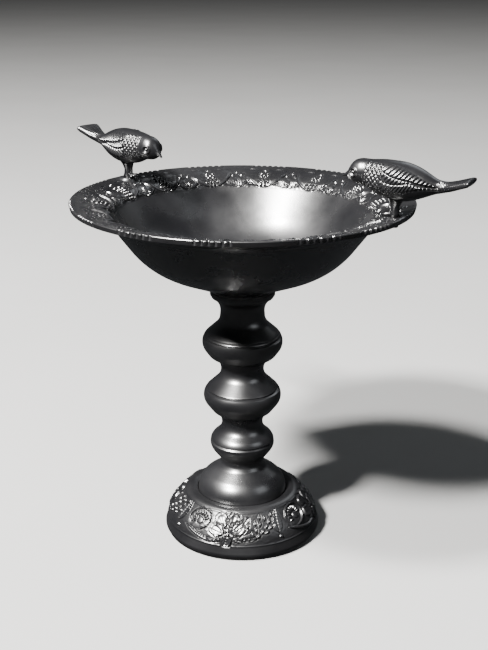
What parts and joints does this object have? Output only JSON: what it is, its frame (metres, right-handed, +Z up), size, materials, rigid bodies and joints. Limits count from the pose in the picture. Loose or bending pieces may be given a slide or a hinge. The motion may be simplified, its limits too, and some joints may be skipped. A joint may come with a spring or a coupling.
{
  "type": "bird bath",
  "caption": "Free-standing cast metal bird bath: turned column on a round foot, lift-off dish with a decorated flat rim, and perched cast birds.",
  "frame": {"origin": "centre of the foot's flat rest, on the ground, on the column's axis", "axes": "+Z up the column's axis; -Y is the side seen in front, +X to its right; the birds stand at 140.5 and -29.5 degrees about +Z from +X"},
  "size_m": [0.6325, 0.5504, 0.6671],
  "materials": {
    "satin_black_foot": "satin black paint over an embossed aluminium casting",
    "satin_black_column": "satin black paint over turned aluminium castings",
    "satin_black_bowl": "satin black paint over an aluminium casting, smooth inside and embossed on the rim",
    "satin_black_bird": "satin black paint over an aluminium casting with feather relief, lighter on worn edges",
    "zinc_steel": "zinc-plated steel",
    "black_steel": "blackened steel",
    "black_rubber": "matt black rubber"
  },
  "bodies": {
    "pedestal": {"foot_ring": "satin_black_foot", "bell": "satin_black_column", "lower_baluster": "satin_black_column", "middle_baluster": "satin_black_column", "upper_baluster": "satin_black_column", "seat_gasket": "black_rubber", "clamp_plate": "zinc_steel", "tie_rod": "zinc_steel", "lower_washer": "zinc_steel", "lower_nut": "zinc_steel", "upper_washer": "zinc_steel", "upper_nut": "zinc_steel"},
    "bowl": {"bowl": "satin_black_bowl", "left_bird": "satin_black_bird", "right_bird": "satin_black_bird", "bird_screws": "black_steel", "bird_washers": "black_steel"}
  },
  "joints": [
    {"name": "bowl_lift", "type": "slide", "parent": "pedestal", "child": "bowl", "axis": [0, 0, 1], "range_m": [0, 0.08]}
  ]
}
